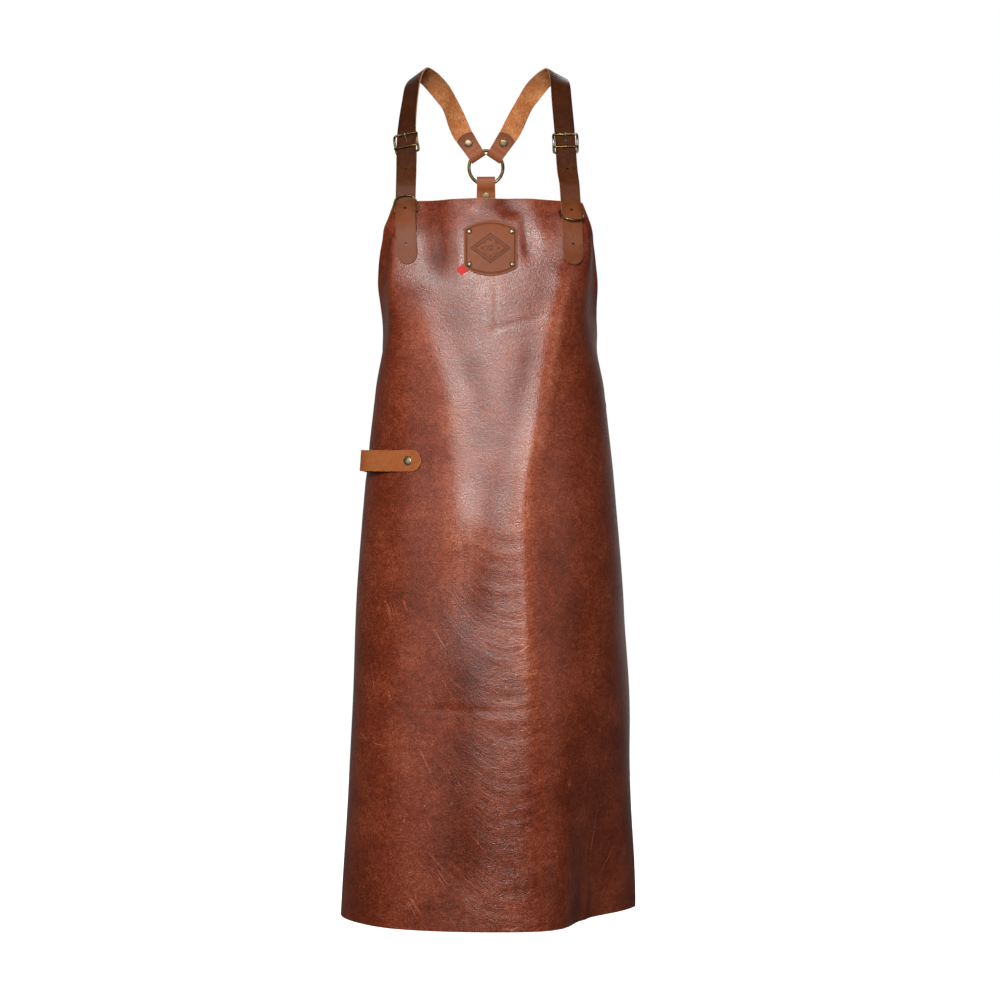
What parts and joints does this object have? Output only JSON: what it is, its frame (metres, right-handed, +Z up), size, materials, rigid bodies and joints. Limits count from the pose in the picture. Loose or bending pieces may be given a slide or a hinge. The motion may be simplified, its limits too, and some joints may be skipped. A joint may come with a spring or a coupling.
{
  "type": "leather bib apron",
  "caption": "Full-length leather work apron with a bib, crossed-back shoulder straps on buckles and a back ring, a waist strap, a towel loop and a riveted patch.",
  "frame": {"origin": "midway between the tops of the two shoulder straps, where they lie on the wearer's shoulders", "axes": "+Z up, the bib faces -Y, the towel loop is on the -X side"},
  "size_m": [0.4416, 0.2891, 1.2538],
  "materials": {
    "panel_leather": "waxed pull-up leather, satin",
    "strap_leather": "waxed leather, satin, tan flesh side",
    "tan_leather": "smooth tan leather, satin",
    "brass": "antique",
    "rivet_brass": "worn antique",
    "ribbon": "woven"
  },
  "bodies": {
    "apron": {"apron_panel": "panel_leather", "shoulder_strap_left": "strap_leather", "shoulder_strap_right": "strap_leather", "buckle_strap_left": "strap_leather", "buckle_strap_right": "strap_leather", "back_strap": "strap_leather", "waist_strap_left": "strap_leather", "waist_strap_right": "strap_leather", "towel_loop": "tan_leather", "patch": "tan_leather", "patch_tab": "ribbon", "back_ring": "brass", "buckle_frame_left": "brass", "buckle_frame_right": "brass", "buckle_prong_left": "brass", "buckle_prong_right": "brass", "waist_clasp": "brass", "shoulder_rivet_left": "rivet_brass", "shoulder_rivet_right": "rivet_brass", "bib_rivet_left": "rivet_brass", "bib_rivet_right": "rivet_brass", "waist_rivet_left": "rivet_brass", "waist_rivet_right": "rivet_brass", "back_rivet_top": "rivet_brass", "back_rivet_low": "rivet_brass", "towel_rivet_front": "rivet_brass", "towel_rivet_rear": "rivet_brass", "patch_rivet_1": "rivet_brass", "patch_rivet_2": "rivet_brass", "patch_rivet_3": "rivet_brass", "patch_rivet_4": "rivet_brass"},
    "d_ring_left": {"d_ring_left": "brass"},
    "d_ring_right": {"d_ring_right": "brass"}
  },
  "joints": [
    {"name": "d_ring_left_swing", "type": "hinge", "parent": "apron", "child": "d_ring_left", "pos_m": [-0.11715, -0.1158, -0.21209], "axis": [0.9682, -0.2447, 0.0526], "range_deg": [0, 118]},
    {"name": "d_ring_right_swing", "type": "hinge", "parent": "apron", "child": "d_ring_right", "pos_m": [0.11833, -0.11754, -0.21208], "axis": [0.9692, 0.2405, -0.0531], "range_deg": [-112, 8]}
  ]
}
